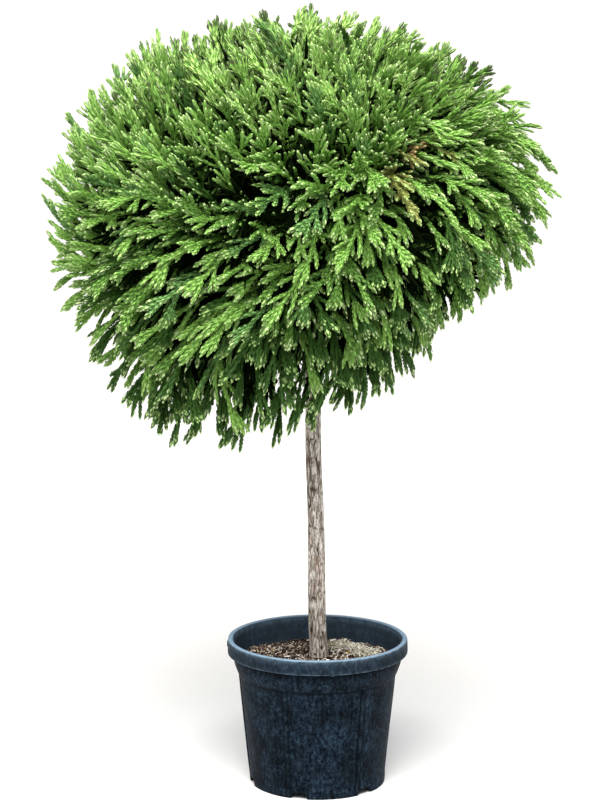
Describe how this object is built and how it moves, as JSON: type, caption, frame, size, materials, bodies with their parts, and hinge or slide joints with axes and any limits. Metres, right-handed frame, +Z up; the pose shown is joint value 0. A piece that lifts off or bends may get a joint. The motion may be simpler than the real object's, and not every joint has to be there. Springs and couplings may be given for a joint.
{
  "type": "standard conifer topiary in a nursery pot",
  "caption": "Standard lollipop topiary: a clear trunk carries a round, dense, hanging crown of conifer foliage, planted in a round plastic nursery pot.",
  "frame": {"origin": "middle of the pot's flat underside, on the ground", "axes": "+Z up along the pot's axis; the plant's front faces -Y, and +X is to the right as seen from the front"},
  "size_m": [1.0476, 1.0353, 1.6277],
  "materials": {
    "pot": "dusty blue-black moulded plastic",
    "mix": "crumbly bark potting mix",
    "bark": "fibrous grey bark",
    "twig": "thin brown bark",
    "foliage": "fresh green short needles"
  },
  "bodies": {
    "root": {"pot": "pot", "potting_mix": "mix", "trunk": "bark", "foliage_top": "foliage", "bough_upper_1": "twig", "foliage_upper_1": "foliage", "bough_upper_2": "twig", "foliage_upper_2": "foliage", "bough_upper_3": "twig", "foliage_upper_3": "foliage", "bough_upper_4": "twig", "foliage_upper_4": "foliage", "bough_upper_5": "twig", "foliage_upper_5": "foliage", "bough_middle_1": "twig", "foliage_middle_1": "foliage", "bough_middle_2": "twig", "foliage_middle_2": "foliage", "bough_middle_3": "twig", "foliage_middle_3": "foliage", "bough_middle_4": "twig", "foliage_middle_4": "foliage", "bough_middle_5": "twig", "foliage_middle_5": "foliage", "bough_middle_6": "twig", "foliage_middle_6": "foliage", "bough_skirt_1": "twig", "foliage_skirt_1": "foliage", "bough_skirt_2": "twig", "foliage_skirt_2": "foliage", "bough_skirt_3": "twig", "foliage_skirt_3": "foliage", "bough_skirt_4": "twig", "foliage_skirt_4": "foliage", "bough_skirt_5": "twig", "foliage_skirt_5": "foliage"}
  },
  "joints": []
}
